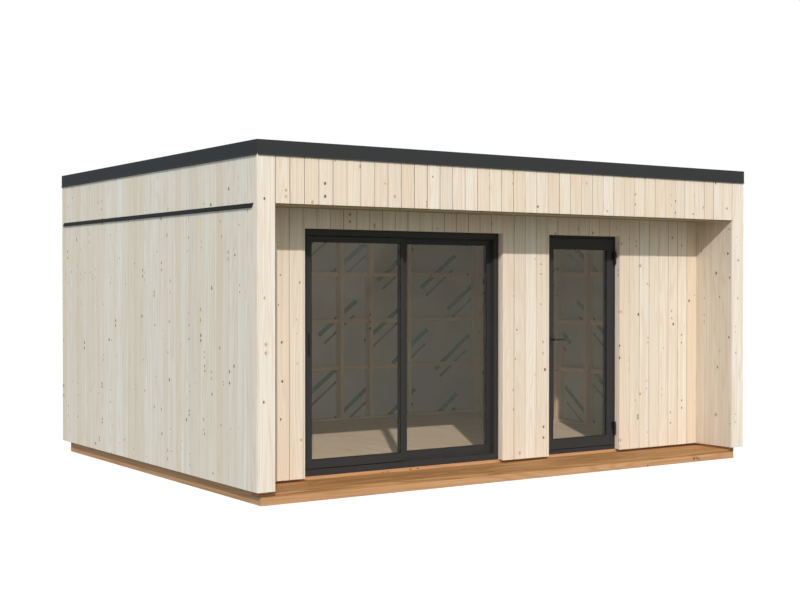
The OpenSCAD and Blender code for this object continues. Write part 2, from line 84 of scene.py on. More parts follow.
# Base, floor and porch deck
BASE_INSET, BEAM_T, SILL_T, BEAM_EASE = 58, 60, 90, 3.0
JOIST_T, FLOOR_JOISTS = 45, 9
BASE_X, BASE_Y = SIDE - BASE_INSET, BACK - BASE_INSET
BEAM_IN, SILL_BACK = BASE_X - BEAM_T, FRAME_FACE + SILL_T
DECK_BOARDS, DECK_GAP, DECK_EASE = 3, 6, 4.0
DECK_W = (FRAME_FACE + BASE_Y - (DECK_BOARDS - 1) * DECK_GAP) / DECK_BOARDS
NOTCH_BACK = -BASE_Y + DECK_W
FLOOR_BOARDS, FLOOR_JOINT, FLOOR_EASE = 43, 0.4, 1.2

# Stud frames and roof
STUD_T, PLATE_T, RAIL_H, RAIL_D = 45, 45, 45, 45
STUD_LOW, STUD_TOP = BASE_H + PLATE_T, WALL_TOP - PLATE_T
PLATES = ((BASE_H, STUD_LOW), (STUD_TOP, WALL_TOP))
STUD_STEP, BACK_STUDS = 474, (556, 928, 1428)
RAILS, RAIL_FIRST, RAIL_STEP = 3, 583, 503
RAIL_LEVELS = [BASE_H + RAIL_FIRST + i * RAIL_STEP for i in range(RAILS)]
ROOF_JOISTS, ROOF_SHEETS, PARAPET_T = 11, 4, 45
SEAM_LAP, SEAM_T, SEAM_IN, SEAM_EASE = 80, 2.5, 5, 1.2

# Cladding boards and the joints between them. A grid is the first joint's place and a board's width.
BOARD_W, SLIVER = 121, 8
FRONT_BOARDS, SIDE_BOARDS = 39, 32
FRONT_GRID = (-WING_IN, 2 * WING_IN / FRONT_BOARDS)
SIDE_GRID = (CORNER_END, (BACK - CORNER_END) / SIDE_BOARDS)
FRONT_GAP, FRONT_EASE = 4.6, 1.6
SIDE_GAP, SIDE_EASE = 1.0, 0.9
# Tongues in the joints take a tone of their own that colours them as dark as knots: painted shade in the gaps
TONGUE_IN, JOINT_SHADE_TONE, JOINT_SPREAD = 4.0, 0.005, (0.55, 1.2)
WALL_GRAINS, RECESS_GRAINS, WING_TONE = 60, 40, 0.4
WING_EASE, CORNER_EASE, LINING_EASE = 2.5, 1.5, 1.0
LIP_DROP = 14

# Drip flashings
FLASH_H, FLASH_OUT, FLASH_EDGE, FLASH_SLANT = 32, 14, 3, 22
FLASH_LOW = SOFFIT - FLASH_H
FLASH_START, FLASH_END = CORNER_END + FLASH_SLANT, -CORNER_END

# Openings
PATIO_X0, PATIO_W = -1856, 1915
DOOR_X0, DOOR_W = 566, 822
LINING_T = 12
PATIO_X1, DOOR_X1 = PATIO_X0 + PATIO_W, DOOR_X0 + DOOR_W
OPENINGS = ((PATIO_X0, PATIO_X1), (DOOR_X0, DOOR_X1))
LINED_OPENINGS = [(x0 - LINING_T, x1 + LINING_T) for x0, x1 in OPENINGS]

# Sashes: the widths of their profiles at the left, right, bottom and top, and their glass units
SLIDING_PROFILES = (43, 24, 67, 44)
FIXED_PROFILES = (70, 27, 60, 37)
LEAF_PROFILES = (73, 73, 88, 94)
SASH_EASE = 2.0
GLASS_T, GLASS_SEAT, PANE_T, PANE_EASE = 24, 8, 4, 0.4
SPACER_IN, SPACER_EASE = 1, 0.5
GASKET_W, GASKET_D, GASKET_EASE = 3, 4, 0.8

# Patio door
PATIO_JAMB_W, PATIO_RAIL_H, PATIO_FRAME_D = 46, 51, 100
TRACK_D, TRACK_STEP = 50, 12
TRACK_BACK, PATIO_BACK = FRAME_FACE + TRACK_D, FRAME_FACE + PATIO_FRAME_D
SASH_T, SASH_W, SASH_SET, SASH_GAP = 36, 896, 4, 5
SASH_FACE = FRAME_FACE + SASH_SET
SASH_BACK = SASH_FACE + SASH_T
RUNNER_L, RUNNER_GAP, RUNNER_EASE = 70, 0.3, 1.0
PULL_BASE_D, PULL_D, PULL_GRIP_W = 4, 12, 8

# Hinged door
LEAF_T, LEAF_GAP, FREE_GAP = 50, 5, 8
DOOR_JAMB_W, THRESHOLD_H = 20, 34
STOP_W, STOP_D = 25, 35
LEAF_BACK = FRAME_FACE + LEAF_T
REBATE_BACK = LEAF_BACK + LEAF_GAP
DOOR_BACK = REBATE_BACK + STOP_D

# Door handle
HANDLE_IN, HANDLE_Z = 48, 1114
HANDLE_X = DOOR_X0 + DOOR_JAMB_W + FREE_GAP + HANDLE_IN
HANDLE_PLATE_T, HANDLE_PLATE_W, HANDLE_PLATE_H, HANDLE_PLATE_DROP = 6, 34, 90, 14
KEY_R, KEY_DROP, KEY_OUT = 8, 38, 4
KEYHOLE_W, KEYHOLE_H, KEYHOLE_OUT = 2, 10, 0.4
LEVER_L, LEVER_H, LEVER_T, LEVER_OUT = 125, 20, 12, 42
NECK_R, NECK_GAP, SUNK = 9, 0.3, 1
SPINDLE_R, SPINDLE_OUT, SPINDLE_SIDES = 5, 20, 24

# Studio: its sky and floor, and the camera that the photo's straight edges give, placed in metres and degrees
WHITE = (1.0, 1.0, 1.0, 1.0)
SKY_FILL, SKY_COLOUR = 0.46, (0.95, 0.99, 1.0, 1.0)
GROUND_REACH, GROUND_COLOUR, GROUND_GLOW = 120.0, (0.3, 0.3, 0.26, 1.0), 0.82
SENSOR, LENS, FAR_CLIP = 36.0, 60.85, 400.0
CAMERA_AT, CAMERA_TILT, CAMERA_TURN = (-6.996, -10.528, 1.594), 89.33, -33.78


def paint(red, green, blue):
    """A colour written in the usual 0 to 255 steps, as the linear colour that a shader takes."""
    steps = [value / 255 for value in (red, green, blue)]
    return tuple(s / 12.92 if s <= 0.04045 else ((s + 0.055) / 1.055) ** 2.4 for s in steps) + (1.0,)


class Finish:
    """A node material, built up one value at a time."""

    def __init__(self, name, **sockets):
        self.material = bpy.data.materials.new(name)
        self.material.use_nodes = True
        self.tree = self.material.node_tree
        self.shader = self.tree.nodes["Principled BSDF"]
        for socket, value in sockets.items():
            self.set(socket.replace("_", " "), value)

    def set(self, socket, value):
        self.plug(value, self.shader.inputs[socket])

    def plug(self, value, socket):
        if isinstance(value, bpy.types.NodeSocket):
            self.tree.links.new(value, socket)
        else:
            socket.default_value = value

    def surface(self, shader):
        self.plug(shader.outputs[0], self.tree.nodes["Material Output"].inputs["Surface"])

    def add(self, kind, inputs=(), **settings):
        node = self.tree.nodes.new("ShaderNode" + kind)
        for key, value in settings.items():
            setattr(node, key, value)
        for key, value in dict(inputs).items():
            self.plug(value, node.inputs[key])
        return node

    def calc(self, operation, a, b=0.0, clamp=False):
        return self.add("Math", {0: a, 1: b}, operation=operation, use_clamp=clamp).outputs[0]

    def times(self, a, b, clamp=False):
        return self.calc("MULTIPLY", a, b, clamp)

    def plus(self, a, b):
        return self.calc("ADD", a, b)

    def less(self, a, b, clamp=False):
        return self.calc("SUBTRACT", a, b, clamp)

    def scaled(self, value, low, high, to_low=0.0, to_high=1.0):
        names = ("Value", "From Min", "From Max", "To Min", "To Max")
        node = self.add("MapRange", dict(zip(names, (value, low, high, to_low, to_high))))
        return node.outputs["Result"]

    def split(self, vector):
        return self.add("SeparateXYZ", {0: vector}).outputs

    def vector(self, x, y, z=0.0):
        return self.add("CombineXYZ", {0: x, 1: y, 2: z}).outputs[0]

    def place(self):
        return self.add("TexCoord").outputs["Object"]

    def noise(self, vector, scale=1.0, detail=2.0, rough=0.5, distortion=0.0):
        names = ("Vector", "Scale", "Detail", "Roughness", "Distortion")
        return self.add("TexNoise", dict(zip(names, (vector, scale, detail, rough, distortion)))).outputs[0]

    def mix(self, share, a, b):
        node = self.add("Mix", data_type="RGBA")
        for index, value in ((0, share), (6, a), (7, b)):
            self.plug(value, node.inputs[index])
        return node.outputs[2]

    def ramp(self, value, *colours):
        """Colours evenly spaced from 0 to 1."""
        node = self.add("ValToRGB", {0: value})
        band = node.color_ramp.elements
        while len(band) < len(colours):
            band.new(0.5)
        for i, (stop, colour) in enumerate(zip(band, colours)):
            stop.position, stop.color = i / (len(colours) - 1), colour
        return node.outputs[0]

    def relief(self, height, strength, distance):
        node = self.add("Bump", {"Height": height, "Strength": strength, "Distance": distance})
        self.set("Normal", node.outputs[0])


def knots(f, across, along, share):
    """Oval knots, alone or in pairs along the board: their cores, their halos and how dark each is."""
    cells_across, cells_along, oval, pair_apart = 8.0, 3.5, 1.7, 0.2
    small, large, halo_reach, crisp = 0.035, 0.09, 3.2, 60.0
    at = f.vector(f.times(across, cells_across), f.times(along, cells_along))
    cells = f.add("TexVoronoi", {"Vector": at, "Scale": 1.0}, voronoi_dimensions="2D").outputs
    chance, dark, apart = f.split(cells["Color"])
    shift = f.add("VectorMath", {0: at, 1: cells["Position"]}, operation="SUBTRACT")
    aside, onward, _ = f.split(shift.outputs[0])
    onward = f.times(f.less(f.calc("ABSOLUTE", onward), f.scaled(apart, 0.6, 1.0, 0.0, pair_apart)), oval)
    away = f.add("VectorMath", {0: f.vector(aside, onward)}, operation="LENGTH").outputs["Value"]
    radius = f.times(f.calc("GREATER_THAN", chance, 1.0 - share),
                     f.scaled(chance, 1.0 - share, 1.0, small, large))
    core = f.times(f.less(radius, away), crisp, True)
    halo = f.less(1.0, f.calc("DIVIDE", away, f.plus(f.times(radius, halo_reach), 0.0001)), True)
    return core, halo, dark


def timber(name, tones, late, knot, live_knot, streak, knot_share=0.48, late_share=0.35):
    """Planed softwood from a board's own map: growth rings, fibres, streaks and knots."""
    f = Finish(name, Specular_IOR_Level=0.12)
    late, knot, live_knot, streak = [paint(*colour) for colour in (late, knot, live_knot, streak)]
    across, along, _ = f.split(f.add("UVMap", uv_map="grain").outputs[0])
    tone = f.add("Attribute", attribute_name="tone").outputs["Fac"]
    core, halo, dark = knots(f, across, along, knot_share)

    def figure(per_metre_across, per_metre_along, board_shift=0.0, **noise):
        """Noise drawn out along the grain, shifted from board to board."""
        return f.noise(f.vector(f.times(across, per_metre_across), f.times(along, per_metre_along),
                                f.times(tone, board_shift)), **noise)

    # Growth rings bend round the knots
    ring_count, ring_bend = 15.0, 0.7
    field = figure(8.0, 0.42, 37.0, detail=1.3, rough=0.45, distortion=0.2)
    ring = f.plus(f.times(field, ring_count), f.times(halo, ring_bend))
    late_wood = f.calc("POWER", f.scaled(f.calc("SINE", f.times(ring, 2 * math.pi)), -1.0, 1.0), 2.5)
    fibres = figure(520.0, 7.0)
    bands = figure(22.0, 0.3, 11.0, detail=3.0, rough=0.6)
    strands = figure(110.0, 0.9, 23.0)
    # Colour, from the board's tone to the knots, and painted shade on the tongues in the joints between
    # boards
    body = f.ramp(tone, *[paint(*colour) for colour in tones])
    body = f.mix(f.times(f.scaled(bands, 0.45, 0.72), 0.6), body, streak)
    body = f.mix(f.times(late_wood, late_share), body, late)
    body = f.mix(f.scaled(fibres, 0.35, 0.75, 0.0, 0.10), body, late)
    body = f.mix(f.scaled(strands, 0.46, 0.72, 0.0, 0.5), body, late)
    body = f.mix(f.times(f.calc("POWER", halo, 2.0), 0.35), body, late)
    body = f.mix(f.times(core, 0.9), body, f.mix(f.scaled(dark, 0.45, 0.7), live_knot, knot))
    # Painted shade: faces with the joints' tone are coloured as dark as knots
    joint = f.calc("LESS_THAN", tone, 2 * JOINT_SHADE_TONE)
    f.set("Base Color", f.mix(joint, body, knot))
    f.set("Roughness", f.scaled(fibres, 0.2, 0.8, 0.56, 0.72))
    height = f.plus(f.times(late_wood, 0.4), f.plus(f.times(fibres, 0.5), f.times(core, 0.5)))
    f.relief(height, strength=0.35, distance=0.0008)
    return f.material


def coat(name, colour, dust, rough, gloss, grain=900.0):
    """Fine powder coat with a faint bloom of dust."""
    f = Finish(name, Specular_IOR_Level=gloss)
    patches = f.noise(f.place(), scale=3.0, detail=4.0)
    texture = f.noise(f.place(), scale=grain, detail=1.0)
    f.set("Base Color", f.mix(f.scaled(patches, 0.35, 0.75, 0.0, 0.35), paint(*colour), paint(*dust)))
    mottle = f.plus(f.times(patches, 0.5), f.times(texture, 0.5))
    f.set("Roughness", f.scaled(mottle, 0.3, 0.7, rough - 0.05, rough + 0.07))
    f.relief(texture, strength=0.25, distance=0.0004)
    return f.material


def wind_sheet():
    """Grey woven sheet with plain slanting bars in two widths."""
    f = Finish("wind_sheet", Roughness=0.8, Specular_IOR_Level=0.2)
    angle, row_step, row_shift, row_shifts, bar_step = math.radians(38), 0.42, 0.41, 3.0, 0.95
    x, y, z = f.split(f.place())
    run = f.plus(x, y)
    slant, lean = math.cos(angle), math.sin(angle)
    along = f.plus(f.times(run, slant), f.times(z, lean))
    over = f.less(f.times(z, slant), f.times(run, lean))
    row = f.calc("FLOORED_MODULO", over, row_step)
    turn = f.calc("FLOORED_MODULO", f.calc("FLOOR", f.calc("DIVIDE", over, row_step)), row_shifts)
    step = f.calc("FLOORED_MODULO", f.plus(along, f.times(turn, row_shift)), bar_step)

    def bars(middle, half, length):
        line = f.calc("LESS_THAN", f.calc("ABSOLUTE", f.less(row, middle)), half)
        return f.times(line, f.calc("LESS_THAN", step, length))

    weave = f.noise(f.place(), scale=260.0, detail=1.0)
    creases_and_shade = f.noise(f.place(), scale=2.2, detail=3.0)
    # The sheet's grey goes lighter and darker with its creases: painted shade on the folds
    body = f.mix(f.scaled(creases_and_shade, 0.35, 0.7), paint(188, 190, 186), paint(206, 207, 202))
    body = f.mix(bars(0.26, 0.024, 0.60), body, paint(58, 126, 98))
    body = f.mix(bars(0.15, 0.013, 0.48), body, paint(120, 130, 123))
    f.set("Base Color", body)
    f.relief(f.plus(f.times(weave, 0.1), creases_and_shade), strength=0.25, distance=0.01)
    return f.material


def clear_glass():
    """Clear pane: see-through, with a plain reflection on the faces that meet the eye."""
    f = Finish("clear_glass")
    f.tree.nodes.remove(f.shader)
    front = f.less(1.0, f.add("NewGeometry").outputs["Backfacing"])
    sheen = f.times(f.add("Fresnel", {"IOR": 1.4}).outputs[0], front)
    streaks = f.noise(f.place(), scale=5.0, detail=3.0)
    clear = f.add("BsdfTransparent", {"Color": (0.985, 0.988, 0.982, 1.0)})
    gloss = f.add("BsdfGlossy", {"Color": (0.97, 0.94, 0.83, 1.0),
                                 "Roughness": f.scaled(streaks, 0.3, 0.8, 0.0, 0.02)})
    f.surface(f.add("MixShader", {0: sheen, 1: clear.outputs[0], 2: gloss.outputs[0]}))
    return f.material


def roof_rubber():
    """Matt roofing sheet with dust settled in slow patches."""
    f = Finish("roof_rubber", Specular_IOR_Level=0.25)
    patches = f.noise(f.place(), scale=1.7, detail=6.0, rough=0.6)
    grit = f.noise(f.place(), scale=240.0)
    body = f.mix(f.scaled(patches, 0.4, 0.75), paint(50, 51, 53), paint(66, 66, 66))
    f.set("Base Color", f.mix(f.scaled(grit, 0.55, 0.8, 0.0, 0.3), body, paint(96, 95, 92)))
    f.set("Roughness", f.scaled(patches, 0.3, 0.7, 0.65, 0.85))
    f.relief(f.plus(f.times(grit, 0.2), patches), strength=0.3, distance=0.004)
    return f.material


def strand_board():
    """Pressed board of flat wood strands."""
    f = Finish("strand_board", Specular_IOR_Level=0.25)
    flakes = f.add("TexVoronoi", {"Vector": f.noise(f.place(), scale=9.0, detail=1.0), "Scale": 30.0})
    chips = f.add("TexVoronoi", {"Vector": f.place(), "Scale": 26.0}, distance="CHEBYCHEV")
    share = f.split(chips.outputs["Color"])[0]
    body = f.ramp(share, paint(176, 138, 92), paint(206, 172, 124), paint(224, 194, 150))
    f.set("Base Color", f.mix(f.times(flakes.outputs["Distance"], 0.3), body, paint(150, 112, 72)))
    f.set("Roughness", f.scaled(share, 0.0, 1.0, 0.6, 0.8))
    f.relief(share, strength=0.3, distance=0.002)
    return f.material


def drawn_metal():
    """Dark metal of the spacer bars, with fine lines along its length."""
    f = Finish("spacer_metal", Metallic=1.0)
    x, y, z = f.split(f.place())
    lines = f.noise(f.vector(f.times(x, 30.0), f.times(y, 1500.0), f.times(z, 1500.0)))
    light, dark = (0.07, 0.07, 0.072, 1.0), (0.04, 0.04, 0.04, 1.0)
    f.set("Base Color", f.mix(f.scaled(lines, 0.3, 0.7, 0.0, 0.4), light, dark))
    f.set("Roughness", f.scaled(lines, 0.2, 0.8, 0.37, 0.55))
    f.relief(lines, strength=0.15, distance=0.0003)
    return f.material


pale_spruce = timber(
    "pale_spruce", [(248, 241, 228), (241, 228, 208), (249, 243, 230), (239, 222, 200), (246, 237, 218),
                    (235, 224, 208)],
    late=(224, 202, 172), knot=(84, 62, 46), live_knot=(198, 166, 136), streak=(236, 219, 194))
# The porch's side walls and soffit take darker copies of the pale timber: painted shade, which holds back the
# light that the studio floor throws up on them from below
shaded_porch_spruce = timber(
    "shaded_porch_spruce", [(231, 221, 204), (235, 225, 208), (227, 216, 198)],
    late=(206, 184, 156), knot=(84, 62, 46), live_knot=(178, 142, 110), streak=(222, 204, 180))
shaded_soffit_spruce = timber(
    "shaded_soffit_spruce", [(158, 146, 116), (164, 152, 122), (152, 140, 110)],
    late=(164, 142, 108), knot=(84, 62, 46), live_knot=(140, 108, 78), streak=(180, 162, 130))
stud_spruce = timber(
    "stud_spruce", [(232, 214, 180), (236, 218, 186), (228, 206, 170)],
    late=(204, 170, 126), knot=(90, 60, 38), live_knot=(160, 112, 74), streak=(230, 204, 160),
    knot_share=0.25)
treated_timber = timber(
    "treated_timber", [(210, 165, 122), (218, 173, 129), (202, 155, 112)],
    late=(166, 116, 72), knot=(104, 66, 42), live_knot=(150, 96, 58), streak=(214, 160, 110),
    knot_share=0.35)
deck_timber = timber(
    "deck_timber", [(202, 154, 103), (184, 135, 84), (196, 148, 97)],
    late=(118, 80, 42), knot=(84, 54, 32), live_knot=(120, 76, 44), streak=(166, 122, 72),
    knot_share=0.3, late_share=0.5)
floor_timber = timber(
    "floor_timber", [(232, 214, 188), (238, 220, 196), (226, 208, 180)],
    late=(204, 172, 134), knot=(100, 72, 50), live_knot=(168, 124, 88), streak=(230, 206, 172),
    knot_share=0.25)
roof_boarding = strand_board()
wind_membrane = wind_sheet()
pane_glass = clear_glass()
roof_sheet = roof_rubber()
trim_coat = coat("trim_coat", (61, 62, 63), (66, 66, 66), rough=0.55, gloss=0.015)
drip_coat = coat("drip_coat", (37, 37, 36), (43, 43, 42), rough=0.55, gloss=0.03)
profile_coat = coat("profile_coat", (58, 58, 57), (64, 63, 62), rough=0.5, gloss=0.06)
fitting_coat = coat("fitting_coat", (30, 30, 31), (38, 38, 38), rough=0.45, gloss=0.2)
handle_coat = coat("handle_coat", (36, 36, 38), (44, 44, 45), rough=0.34, gloss=0.35)
gasket_rubber = coat("gasket_rubber", (22, 22, 23), (30, 30, 30), rough=0.6, gloss=0.15, grain=500.0)
spacer_metal = drawn_metal()


def timber_mesh():
    """An empty mesh that keeps each board's tone and grain map."""
    bm = bmesh.new()
    bm.faces.layers.float.new("tone")
    bm.loops.layers.uv.new("grain")
    return bm


def new_grain():
    """A board cut from somewhere else in the log: its tone and the start of its map."""
    return rng.uniform(0.02, 1.0), rng.uniform(0, 30), rng.uniform(0, 30)


def lay_grain(bm, along, grain):
    """Gives the faces just made a board's tone, and a map in metres across and along its grain."""
    tone_layer, grain_map = bm.faces.layers.float["tone"], bm.loops.layers.uv["grain"]
    tone, start_across, start_along = grain or new_grain()
    a, b = [axis for axis in (X, Y, Z) if axis != along]
    for face in bm.faces:
        if face[tone_layer] == 0.0:
            face[tone_layer] = tone
            face.normal_update()
            end = abs(face.normal[along]) > 0.9
            for loop in face.loops:
                at = loop.vert.co
                loop[grain_map].uv = (at[a] + at[b] + start_across,
                                      at[along] + end * (at[a] - at[b]) + start_along)


def ease_edges(bm, edges, width, segments):
    bmesh.ops.bevel(bm, geom=list(edges), offset=width * MM, offset_type="OFFSET", segments=segments,
                    profile=0.5, affect="EDGES", material=-1, clamp_overlap=True)


def bar(bm, low, high, along=Z, ease=2.0, segments=1, grain=None):
    """A bar with eased edges between two corners in mm. Its grain runs along one axis."""
    low, high = Vector(low) * MM, Vector(high) * MM
    verts = bmesh.ops.create_cube(bm, size=1.0)["verts"]
    bmesh.ops.scale(bm, vec=high - low, verts=verts)
    bmesh.ops.translate(bm, vec=(low + high) / 2, verts=verts)
    if ease:
        ease_edges(bm, {edge for vert in verts for edge in vert.link_edges}, ease, segments)
    if bm.faces.layers.float.get("tone"):
        lay_grain(bm, along, grain)


def rod(bm, start, end, radius, sides=32, ease=0.0):
    """A round rod between two points in mm."""
    start, end = Vector(start) * MM, Vector(end) * MM
    verts = bmesh.ops.create_cone(bm, cap_ends=True, segments=sides, radius1=radius * MM, radius2=radius * MM,
                                  depth=(end - start).length)["verts"]
    turn = Vector((0, 0, 1)).rotation_difference(end - start).to_matrix()
    bmesh.ops.rotate(bm, cent=(0, 0, 0), matrix=turn, verts=verts)
    bmesh.ops.translate(bm, vec=(start + end) / 2, verts=verts)
    if ease:
        caps = {edge for vert in verts for edge in vert.link_edges if edge.calc_face_angle(0.0) > 1.0}
        ease_edges(bm, caps, ease, 2)


def extruded(bm, faces, length):
    """Draws faces out along Y by a length in mm and turns the new solid's faces outwards."""
    grown = bmesh.ops.extrude_face_region(bm, geom=faces)["geom"]
    verts = [part for part in grown if isinstance(part, bmesh.types.BMVert)]
    bmesh.ops.translate(bm, vec=(0, length * MM, 0), verts=verts)
    whole = set(verts) | {vert for face in faces for vert in face.verts}
    bmesh.ops.recalc_face_normals(bm, faces=list({face for vert in whole for face in vert.link_faces}))
    return whole


def mitred_frame(bm, outer, inner, y0, y1, ease=1.5, segments=2):
    """Four mitred profiles between two rectangles (x0, x1, z0, z1) in mm, in the plane of the front wall."""
    edges = []
    for x0, x1, z0, z1 in (outer, inner):
        corners = [bm.verts.new(Vector((x, y0, z)) * MM) for x, z in ((x0, z0), (x1, z0), (x1, z1), (x0, z1))]
        edges += [bm.edges.new((corners[i - 1], corners[i])) for i in range(4)]
    whole = extruded(bm, bmesh.ops.bridge_loops(bm, edges=edges)["faces"], y1 - y0)
    sharp = {edge for vert in whole for edge in vert.link_edges if edge.calc_face_angle(0.0) > 0.5}
    ease_edges(bm, sharp, ease, segments)


def inset(rect, left, right, bottom, top):
    """A rectangle (x0, x1, z0, z1) drawn in by a width at each edge."""
    return rect[0] + left, rect[1] - right, rect[2] + bottom, rect[3] - top


def inset_all(rect, width):
    return inset(rect, width, width, width, width)


def both_sides(low, high):
    """The corners of a bar and of its twin across the pod's middle."""
    yield low, high
    yield (-high[X], *low[1:]), (-low[X], *high[1:])


def spread(a, b, width, count):
    """Evenly spaced middles of some pieces of one width between two ends."""
    return [a + width / 2 + i * (b - a - width) / (count - 1) for i in range(count)]


def box_mm(node):
    """Both corners of a solid's box in mm."""
    return [[value / MM for value in corner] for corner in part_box(node)]


def finished(name, bm, material, nodes=(), body="pod"):
    """Puts a mesh in the scene as a piece that rides on a body and stands for some of the solids."""
    mesh = bpy.data.meshes.new(name)
    bm.to_mesh(mesh)
    bm.free()
    mesh.materials.append(material)
    piece = bpy.data.objects.new(name, mesh)
    scene.collection.objects.link(piece)
    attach(piece, body)
    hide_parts(*nodes)


# Base, porch deck and floor
def base_timbers():
    """Side beams, notched in front round the deck board, back beam, sill under the front wall and joists."""
    bm = timber_mesh()
    for low, high in both_sides((BEAM_IN, NOTCH_BACK, 0), (BASE_X, BASE_Y, BASE_H)):
        bar(bm, low, high, Y, BEAM_EASE)
    for y, z0, z1 in ((-BASE_Y + BEAM_T, 0, BEARER_H), (-BASE_Y, DECK_TOP, BASE_H)):
        for low, high in both_sides((BEAM_IN, y, z0), (BASE_X, NOTCH_BACK, z1)):
            bar(bm, low, high, Y)
    bar(bm, (-BEAM_IN, BASE_Y - BEAM_T, 0), (BEAM_IN, BASE_Y, BASE_H), X, BEAM_EASE)
    bar(bm, (-BEAM_IN, FRAME_FACE, 0), (BEAM_IN, SILL_BACK, BASE_H), X, BEAM_EASE)
    for x in spread(-BEAM_IN, BEAM_IN, JOIST_T, FLOOR_JOISTS + 2)[1:-1]:
        low, high = (x - JOIST_T / 2, SILL_BACK, 0), (x + JOIST_T / 2, BASE_Y - BEAM_T, BASE_H)
        bar(bm, low, high, Y, BEAM_EASE)
    finished("base_timbers", bm, treated_timber, ["base_frame", "wing_beams"])


def porch_timbers():
    bm = timber_mesh()
    bar(bm, (-BASE_X, -BASE_Y, 0), (BASE_X, -BASE_Y + BEAM_T, BEARER_H), X, BEAM_EASE)
    for x in spread(-BEAM_IN, BEAM_IN, JOIST_T, FLOOR_JOISTS + 2):
        low, high = (x - JOIST_T / 2, -BASE_Y + BEAM_T, 0), (x + JOIST_T / 2, FRAME_FACE, BEARER_H)
        bar(bm, low, high, Y, BEAM_EASE)
    finished("porch_timbers", bm, treated_timber, ["porch_bearers"])


def deck_planks():
    """Deck boards. The front one runs the full width."""
    bm = timber_mesh()
    for i in range(DECK_BOARDS):
        end, y = BEAM_IN if i else BASE_X, -BASE_Y + i * (DECK_W + DECK_GAP)
        bar(bm, (-end, y, BEARER_H), (end, y + DECK_W, DECK_TOP), X, DECK_EASE, 3)
    finished("deck_planks", bm, deck_timber, ["porch_deck"])


def floor_boards():
    """Floor boards, shorter where a door frame stands on the base."""
    bm = timber_mesh()
    step = 2 * STUD_IN / FLOOR_BOARDS
    for i in range(FLOOR_BOARDS):
        x0, x1 = -STUD_IN + i * step, -STUD_IN + (i + 1) * step
        start = max([FRONT_STUD_IN] + [end for (a, b), end in zip(OPENINGS, (PATIO_BACK, DOOR_BACK))
                                       if x0 < b and x1 > a])
        bar(bm, (x0 + FLOOR_JOINT, start, BASE_H), (x1 - FLOOR_JOINT, BACK_STUD_IN, FLOOR_TOP), Y, FLOOR_EASE)
    finished("floor_boards", bm, floor_timber, ["floor_panel"])


# Stud frames
def wall_frame(bm, x0, x1, y0, y1, rail_y, places):
    """Plates, studs and rails of one wall along X. The rails are let in between the studs."""
    for z0, z1 in PLATES:
        bar(bm, (x0, y0, z0), (x1, y1, z1), X)
    for x in places:
        bar(bm, (x - STUD_T / 2, y0, STUD_LOW), (x + STUD_T / 2, y1, STUD_TOP), Z)
    for a, b in zip(places, places[1:]):
        for z in RAIL_LEVELS:
            low = (a + STUD_T / 2, rail_y, z - RAIL_H / 2)
            bar(bm, low, (b - STUD_T / 2, rail_y + RAIL_D, z + RAIL_H / 2), X)


def back_studwork():
    bm = timber_mesh()
    half = (*BACK_STUDS, STUD_IN - STUD_T / 2)
    places = [-x for x in reversed(half)] + list(half)
    wall_frame(bm, -STUD_IN, STUD_IN, BACK_STUD_IN, BACK_STUD_OUT, BACK_STUD_OUT - RAIL_D, places)
    finished("back_studwork", bm, stud_spruce, ["back_wall_frame"])


def front_studwork():
    """Stud walls beside the openings, and a header over each opening."""
    bm = timber_mesh()
    (patio_x0, patio_x1), (door_x0, door_x1) = LINED_OPENINGS
    for x0, x1 in ((-STUD_IN, patio_x0), (patio_x1, door_x0), (door_x1, STUD_IN)):
        places = spread(x0, x1, STUD_T, math.ceil((x1 - x0 - STUD_T) / STUD_STEP) + 1)
        wall_frame(bm, x0, x1, FRONT_STUD_OUT, FRONT_STUD_IN, FRONT_STUD_OUT, places)
    for x0, x1 in LINED_OPENINGS:
        bar(bm, (x0, FRONT_STUD_OUT, OPENING_TOP + LINING_T), (x1, FRONT_STUD_IN, WALL_TOP), X)
    finished("front_studwork", bm, stud_spruce, ["front_wall_frame", "front_headers"])


def side_studwork():
    """Side stud walls, each with two more studs that widen it at both ends of its porch wall."""
    half = STUD_T / 2
    porch_studs = [WING_BACK + half, PORCH_FACE - half]
    count = int((BACK_STUD_OUT - half - PORCH_FACE) // STUD_STEP) + 1
    places = porch_studs + [BACK_STUD_OUT - half - i * STUD_STEP for i in reversed(range(count))]
    timbers = [((STUD_IN, WING_BACK, z0), (STUD_OUT, BACK_STUD_OUT, z1), Y) for z0, z1 in PLATES]
    timbers += [((STUD_IN, y - half, STUD_LOW), (STUD_OUT, y + half, STUD_TOP), Z) for y in places]
    timbers += [((STUD_OUT - RAIL_D, a + half, z - RAIL_H / 2), (STUD_OUT, b - half, z + RAIL_H / 2), Y)
                for a, b in zip(places, places[1:]) for z in RAIL_LEVELS]
    timbers += [((WING_IN + CLAD_T, y - half, BASE_H), (STUD_IN, y + half, WALL_TOP), Z) for y in porch_studs]
    for name, side in (("left", 1), ("right", 0)):
        bm = timber_mesh()
        for low, high, along in timbers:
            bar(bm, *list(both_sides(low, high))[side], along)
        finished(name + "_studwork", bm, stud_spruce, [name + "_wall_frame"])


